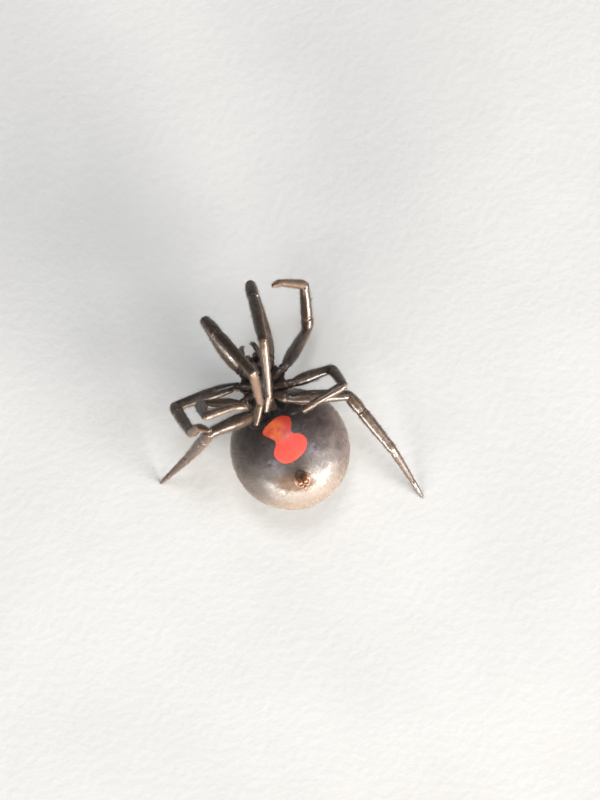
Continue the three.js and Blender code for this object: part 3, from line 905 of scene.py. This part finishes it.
def carapace_place(ways):
    wx, wy, wz = ways.T
    x = wx * CARAPACE_HALF[0] * (1 - HEAD_NARROWING * smooth(-0.1, 0.9, wy))
    y = CARAPACE_MIDDLE + wy * CARAPACE_HALF[1]
    z = CARAPACE_RIM + wz * np.where(wz > 0, CARAPACE_CORE, CARAPACE_BACK)
    side = np.abs(x)
    depth = np.maximum(0, -wz)

    def groove(foot_x, foot_y, head_x, head_y, width):
        ax, ay = head_x - foot_x, head_y - foot_y
        share = np.clip(((side - foot_x) * ax + (y - foot_y) * ay) / (ax * ax + ay * ay), 0, 1)
        return bell(np.hypot(side - foot_x - share * ax, y - foot_y - share * ay), width)

    z += 0.12 * groove(*MIDDLE_DIMPLE, 0.2) * depth + 0.096 * groove(*NECK_GROOVE, 0.14) * depth
    for line in LEG_GROOVES:
        z += 0.035 * groove(*line, 0.08) * depth
    z += 0.02 * bell(wz + 0.12, 0.06) - 0.03 * bell(np.hypot(side, y - 1.2), 0.5) * depth
    place = body_point(x, y, z)
    out = unit(place - body_point(0, CARAPACE_MIDDLE, CARAPACE_RIM))
    return place + out * (0.008 * ripple(place, 0.7, 8))[:, None]


ways, faces = way_grid(120, 170, "Y")
points = carapace_place(ways)
form = Form()
form.add(points, faces, pale=0.25 + 0.5 * bell(ways[:, 2] + 0.05, 0.12))
form.make("carapace_shield", body_shell, "body_shell", ["carapace"])

form = Form()
for place in EYES:
    for side in (-1, 1):
        centre = handed(place, side)
        out = unit(centre - body_point(0, 1.2, -0.55))
        form.add(*ball(centre, EYE_RADIUS, 24, 14, out, 0.9))
        form.add(*ball(centre - out * 0.045, EYE_RADIUS * 1.16, 24, 14, out, 0.72), pale=1.0)
form.make("eyes", eye_lens, "body_shell")

CARAPACE_HAIRS, STERNUM_HAIRS, JAW_HAIRS, LIP_HAIRS = 2600, 900, 150, 50
body_roots = []
source = np.random.default_rng(23)
ways = unit(source.normal(size=(CARAPACE_HAIRS, 3)))
ways = ways[ways[:, 2] < -0.02]
points = carapace_place(ways)
forwards = np.broadcast_to([0.0, 0.97, -0.2], points.shape)
body_roots.append((points, facing(carapace_place, ways), forwards, globe_spots(ways)))

# Breastplate between the coxae, with the lower lip before it


def sternum_place(ways):
    wx, wy, wz = ways.T
    tail = np.maximum(0, -wy)
    x = wx * STERNUM_HALF[0] * (1 - 0.55 * tail * tail)
    y = wy * STERNUM_HALF[1]
    z = STERNUM_LEVEL + wz * STERNUM_HALF[2] - 0.02 * bell(np.hypot(wx, wy) - 0.86, 0.06) * (wz > 0)
    return body_point(x, y, z)


ways, faces = way_grid(70, 110, "Y")
points = sternum_place(ways)
form = Form()
form.add(points, faces, pale=0.2 + 0.3 * bell(ways[:, 2], 0.25))
lip_radius = profile([(0, 1), (0.5, 1), (1, 0.8)], 0.21)
lip = Limb(body_point(0, 0.76, 0.14), body_point(0, 1.12, 0.17), lip_radius, 0, 0.42, rings=24)
form.add(lip.points, lip.faces, pale=0.45)
form.make("breastplate", body_shell, "body_shell", ["sternum"])
ways = unit(source.normal(size=(STERNUM_HAIRS, 3)))
ways = ways[ways[:, 2] > 0.1]
points = sternum_place(ways)
forwards = np.broadcast_to([0.0, 1.0, 0.0], points.shape)
body_roots.append((points, facing(sternum_place, ways), forwards, ways[:, :2] * 0.5 + 0.5))
body_roots.append(lip.roots(LIP_HAIRS, source))

# Jaws with their fangs, and the palps with the lobes beside the mouth

JAW_ROOT, JAW_TIP = (0.3, 1.72, -0.35), (0.27, 2.0, 0.24)
JAW_FORM = [(0, 0.95), (0.3, 1.02), (0.75, 0.88), (1, 0.7)]
JAW_SIDES = 32
FANG_BEND, FANG_TIP = (0.3, 2.02, 0.5), (0.08, 1.8, 0.42)
FANG_STEPS = FANG_SIDES = 14

for hand, side in HANDS.items():
    jaw_root, jaw_tip = handed(JAW_ROOT, side), handed(JAW_TIP, side)
    length = np.linalg.norm(jaw_tip - jaw_root)
    jaw_radius = profile(JAW_FORM, 0.24)
    jaw = Limb(jaw_root, jaw_tip, jaw_radius, -0.1, length + 0.14, JAW_SIDES, 40, lip=0.12)
    place = np.append(np.repeat(jaw.along / length, JAW_SIDES), [0, 1])
    form = Form()
    form.add(jaw.points, jaw.faces, pale=0.3 + 0.5 * smooth(0.5, 1.0, place))
    form.make(f"jaw_{hand}", body_shell, "body_shell", [f"chelicera_{hand}"])
    body_roots.append(jaw.roots(JAW_HAIRS, source, 0.1, 0.85))
    t = np.linspace(0, 1, FANG_STEPS)[:, None]
    fang_root = jaw_tip + 0.05 * unit(jaw_tip - jaw_root)
    bend, fang_tip = handed(FANG_BEND, side), handed(FANG_TIP, side)
    path = (1 - t) ** 2 * fang_root + 2 * t * (1 - t) * bend + t * t * fang_tip
    points, faces = curved_spike(path, np.linspace(0.085, 0.006, FANG_STEPS), FANG_SIDES)
    form = Form()
    form.add(points, faces, pale=spike_tone(FANG_STEPS, FANG_SIDES))
    form.make(f"fang_{hand}", claw_horn, "body_shell")

PALP_PLACES = {
    "lobe_root": (0.5, 1.02, 0.1), "lobe_tip": (0.26, 1.42, 0.36), "knuckle": (0.56, 1.3, 0.3),
    "knee": (0.5, 2.05, 0.66), "wrist": (0.42, 2.55, 0.62), "tip": (0.26, 2.8, 0.08),
}
# Start, end, radius, form and paleness
PALP_PARTS = [
    ("lobe_root", "lobe_tip", 0.2, [(0, 0.9), (0.5, 1), (1, 0.75)], 0.3),
    ("lobe_root", "knuckle", 0.2, [(0, 0.9), (0.5, 0.95), (1, 0.72)], 0.2),
    ("knuckle", "knee", 0.17, [(0, 0.75), (0.3, 1), (0.8, 0.88), (1, 0.8)], 0.15),
    ("knee", "wrist", 0.17, [(0, 0.8), (0.3, 1), (0.8, 0.9), (1, 0.76)], 0.35),
    ("wrist", "tip", 0.15, [(0, 0.85), (0.3, 1), (0.7, 0.75), (1, 0.35)], 0.6),
]
for hand, side in HANDS.items():
    form, skin = Form(), Form()
    for order, (start, end, radius, shares, pale) in enumerate(PALP_PARTS):
        a, b = handed(PALP_PLACES[start], side), handed(PALP_PLACES[end], side)
        overlap = 0.35 * radius
        last = np.linalg.norm(b - a) + overlap
        part = Limb(a, b, profile(shares, radius), -overlap, last, 26, 36, lip=0.06, seed=order)
        form.add(part.points, part.faces, pale=pale + 0.5 * bell(part.from_end, 0.06))
        count = int(part.area * (110 if order else 60))
        body_roots.append(part.roots(count, source, 0.05, 0.95))
        if start != "lobe_root":
            skin.add(*ball(a, radius * 0.8, 20, 12))
    form.make(f"palp_shell_{hand}", body_shell, "body_shell", [f"palp_{hand}"])
    skin.make(f"palp_joints_{hand}", joint_skin, "joint_skin")

even_coat(
    "front_body_hairs", several_roots(body_roots), (0.08, 0.24), 0.0065, (25, 55), 0.15,
    leg_hair, "body_shell", source,
)

# Legs

PALENESS = [0.2, 0.05, 0.12, 0.2, 0.4]
# Feet of the front legs painted paler and of the hind legs darker: painted light and shade for each
# leg
FOOT_PAINTED_LIGHT_AND_SHADE = {1: 0.35, 2: 0.3, 3: 0.1, 4: -0.25}
PLATE_OVERLAP = 0.015
PLATE_LIP = 0.05
TARSUS_END = 0.02
SEGMENT_BOWS = [0.0, 0.035, 0.035, 0.0, 0.0]
LEG_SIDES = 28
SHORT_RINGS, LONG_RINGS = 26, 46
HAIRS_PER_AREA = 120
HAIR_SHARES = [0.35, 1, 1, 1.4, 2]
FOOT_HAIR_SHARE = 0.8
COMB_HAIRS = 11
COMB_HAIR_SHARE = 1.5
LONG_HAIRS = 0.02
LONG_HAIR_STRETCH = 1.9
LONG_HAIR_LIFT = 60
LONG_HAIR_WIDTH, HAIR_WIDTH = 0.010, 0.0056
CLAW_STEPS = 9
CLAW_SIDES = 8
CLAW_SINK = 0.03
CLAW_GAP = 0.022
CLAW_SPLAY = 0.3


def add_claw(form, foot, way, belly, reach, hook, radius, pale):
    """A claw that reaches out and hooks down towards the belly side."""
    t = np.linspace(0, 1, CLAW_STEPS)[:, None]
    path = foot + way * reach * (t - 0.25 * t * t) + belly * hook * t * t
    points, faces = curved_spike(path, np.linspace(radius, 0.003, CLAW_STEPS), CLAW_SIDES)
    form.add(points, faces, pale=pale)


def add_claws(form, tip, axis, belly):
    """Two side claws and the small one between them."""
    spread = np.cross(axis, belly)
    foot = tip - axis * CLAW_SINK
    tone = spike_tone(CLAW_STEPS, CLAW_SIDES)
    for side in (-1, 1):
        way = unit(axis + spread * side * CLAW_SPLAY)
        add_claw(form, foot + spread * side * CLAW_GAP, way, belly, 0.17, 0.11, 0.021, tone)
    add_claw(form, foot, axis, belly, 0.1, 0.09, 0.014, 0.4)


def add_leg(hand, number):
    """One leg: its plates, joint skins, claws and hairs."""
    joints = leg_joints(hand, number)
    ways = [unit(b - a) for a, b in zip(joints, joints[1:])]
    source = np.random.default_rng(100 * number + len(hand))
    shell, foot, skin, claws = Form(), Form(), Form(), Form()
    hair_roots, hair_sizes = [], []
    belly = None
    for order, (segment, plates) in enumerate(zip(SEGMENTS, SEGMENT_PLATES)):
        start, end, way = joints[order], joints[order + 1], ways[order]
        length, radius = LEG_LENGTHS[number][order], LEG_RADII[number][order]
        radius_at = profile(SEGMENT_FORMS[order], radius)
        on_foot = order > 2
        # Paleness by segment is the legs' own colour; the share by leg on the feet is painted light
        # and shade
        pale = PALENESS[order] + (FOOT_PAINTED_LIGHT_AND_SHADE[number] if on_foot else 0)
        # The belly side is the one the next segment bends to; a straight segment keeps the last
        bend = ways[min(order + 1, 4)] if order else ways[2]
        inward = bend - way * (bend @ way)
        if np.linalg.norm(inward) < 0.15 or segment == "tarsus":
            inward = np.cross(way, np.cross(belly, way))
        belly = unit(inward)
        for plate, (low, high) in enumerate(plates):
            start_lip = PLATE_LIP if low else 0.6 * radius_at(0.0)
            end_lip = 0.7 * radius_at(1.0) if high == 1 else PLATE_LIP
            first = low * length - (PLATE_OVERLAP if low else start_lip)
            last = high * length + (end_lip if high == 1 else PLATE_OVERLAP)
            if segment == "tarsus":
                last = length + TARSUS_END
            rings = SHORT_RINGS if high < 1 else LONG_RINGS
            part = Limb(
                start, end, radius_at, first, last, LEG_SIDES, rings,
                belly, SEGMENT_BOWS[order], end_lip, 10 * order + plate, start_lip,
            )
            rim = 0.45 * bell(part.from_end - 0.05, 0.06)
            (foot if on_foot else shell).add(part.points, part.faces, pale=pale + rim)
            count = int(part.area * HAIRS_PER_AREA * HAIR_SHARES[order])
            hair_roots.append(part.roots(count, source, 0.03, 0.96))
            hair_sizes.append(np.full(count, FOOT_HAIR_SHARE if on_foot else 1.0))
            if low:
                ring = start + way * low * length
                skin.add(*ball(ring, radius_at(low) * 0.94, 24, 14, way, 0.4))
        if order:
            before = LEG_RADII[number][order - 1] * SEGMENT_FORMS[order - 1][-1][1]
            inner = min(radius_at(0.0), before)
            crook = way - ways[order - 1]
            skin.add(*ball(start + crook * inner * 0.3, inner * 0.88, 24, 16))
    add_claws(claws, joints[5], ways[4], belly)
    nodes = [f"{segment}_{hand}_{number}" for segment in SEGMENTS]
    shell.make(f"leg_{hand}_{number}", leg_shell, "leg_shell", nodes[:3])
    foot.make(f"foot_{hand}_{number}", foot_shell, "foot_shell", nodes[3:])
    skin.make(f"leg_joints_{hand}_{number}", joint_skin, "joint_skin")
    claws.make(f"claws_{hand}_{number}", claw_horn, "foot_shell")
    if number == 4:
        # The comb of bristles under the last foot
        hair_roots.append(part.roots(COMB_HAIRS, source, 0.25, 0.85, (-0.03, 0.03)))
        hair_sizes.append(np.full(COMB_HAIRS, COMB_HAIR_SHARE))
    roots = several_roots(hair_roots)
    sizes = np.concatenate(hair_sizes)
    count = len(sizes)
    lengths = source.uniform(0.13, 0.27, count) * sizes
    is_long = source.uniform(size=count) < LONG_HAIRS
    lengths = np.where(is_long, lengths * LONG_HAIR_STRETCH, lengths)
    widths = np.where(is_long, LONG_HAIR_WIDTH, HAIR_WIDTH) * np.minimum(sizes, 1.2)
    lift = np.radians(np.where(is_long, LONG_HAIR_LIFT, source.uniform(22, 46, count)))
    coat = f"leg_hairs_{hand}_{number}"
    hair_coat(coat, roots, lengths, widths, lift, 0.12, leg_hair, "leg_shell", source)


for hand in HANDS:
    for number in LEG_LENGTHS:
        add_leg(hand, number)

# Floor, light and camera

FLOOR_HALF = 700.0
FLOOR_GREY = (0.35, 0.35, 0.352)
FLOOR_PALE_GREY = (0.37, 0.37, 0.372)


def floor_finish():
    paint = Paint("studio_floor", Specular_IOR_Level=0.05)
    colour = paint.blend(paint.noise(9.0, 5, 3.0).rise(0.3, 0.7), FLOOR_GREY, FLOOR_PALE_GREY)
    paint.emboss(paint.noise(0.5, 3), 0.01)
    return paint.finish(Base_Color=colour, Roughness=paint.noise(3.0).rise(0.3, 0.7) * 0.1 + 0.85)


mesh = bpy.data.meshes.new("studio_floor")
corners = [(-1, -1, 0), (1, -1, 0), (1, 1, 0), (-1, 1, 0)]
corners = [tuple(c * FLOOR_HALF * MM for c in corner) for corner in corners]
mesh.from_pydata(corners, [], [(0, 1, 2, 3)])
mesh.materials.append(floor_finish().material)
floor = bpy.data.objects.new("studio_floor", mesh)
bpy.context.scene.collection.objects.link(floor)

VIEW_TURN = math.radians(22.5)
CAMERA_PLACE = (1.737, 2.561, 153.5)
LENS = 108.0
SENSOR_WIDTH = 36.0
LIT_PLACE = np.array([0, 2.0, 3.5])
WARM_WHITE = (1.0, 0.935, 0.84)
COOL_WHITE = (0.90, 0.94, 1.0)
PALE_BLUE = (0.74, 0.86, 1.0)
TOP_WHITE = (0.90, 0.95, 1.0)
WORLD_WHITE = (0.92, 0.95, 1.0, 1)
WORLD_STRENGTH = 0.26
# Name, way in the picture and rise in degrees, distance, width and height, watts and colour
LAMPS = [
    ("key_light", (0.76, -0.65, 9), 600, (600, 190), 25.5, WARM_WHITE),
    ("low_light", (-0.17, -0.98, 8), 600, (600, 180), 16.0, WARM_WHITE),
    ("left_sky_light", (-0.70, -0.72, 54), 500, (150, 150), 0.42, COOL_WHITE),
    ("right_sky_light", (0.98, 0.14, 48), 500, (150, 150), 0.42, PALE_BLUE),
    ("top_light", (-0.1, 1.0, 66), 500, (150, 150), 1.4, TOP_WHITE),
]


def seen_way(right, up, rise):
    """A direction from its parts to the right and up in the picture and its rise above the floor."""
    c, s = math.cos(VIEW_TURN), math.sin(VIEW_TURN)
    flat = unit(np.array([right * c + up * s, -right * s + up * c]))
    r = math.radians(rise)
    return np.array([flat[0] * math.cos(r), flat[1] * math.cos(r), math.sin(r)])


def add_light(name, way, distance, size, power, colour):
    """A soft lamp of that width and height, at that distance from the animal."""
    data = bpy.data.lights.new(name, "AREA")
    data.shape, data.size, data.size_y = "ELLIPSE", size[0] * MM, size[1] * MM
    data.energy, data.color = power, colour
    lamp = bpy.data.objects.new(name, data)
    lamp.location = tuple((LIT_PLACE + way * distance) * MM)
    lamp.rotation_mode = "QUATERNION"
    lamp.rotation_quaternion = Vector(tuple(-way)).to_track_quat("-Z", "Y")
    bpy.context.scene.collection.objects.link(lamp)


for name, way, distance, size, power, colour in LAMPS:
    add_light(name, seen_way(*way), distance, size, power, colour)

world = bpy.data.worlds.new("studio")
world.use_nodes = True
background = world.node_tree.nodes["Background"]
background.inputs["Color"].default_value = WORLD_WHITE
background.inputs["Strength"].default_value = WORLD_STRENGTH
bpy.context.scene.world = world
bpy.context.scene.view_settings.view_transform = "Standard"

camera_data = bpy.data.cameras.new("camera")
camera_data.lens, camera_data.sensor_width = LENS, SENSOR_WIDTH
camera_data.clip_start, camera_data.clip_end = 0.001, 10.0
camera = bpy.data.objects.new("camera", camera_data)
camera.location = tuple(c * MM for c in CAMERA_PLACE)
camera.rotation_euler = (0, 0, -VIEW_TURN)
bpy.context.scene.collection.objects.link(camera)
bpy.context.scene.camera = camera

bpy.context.view_layer.update()
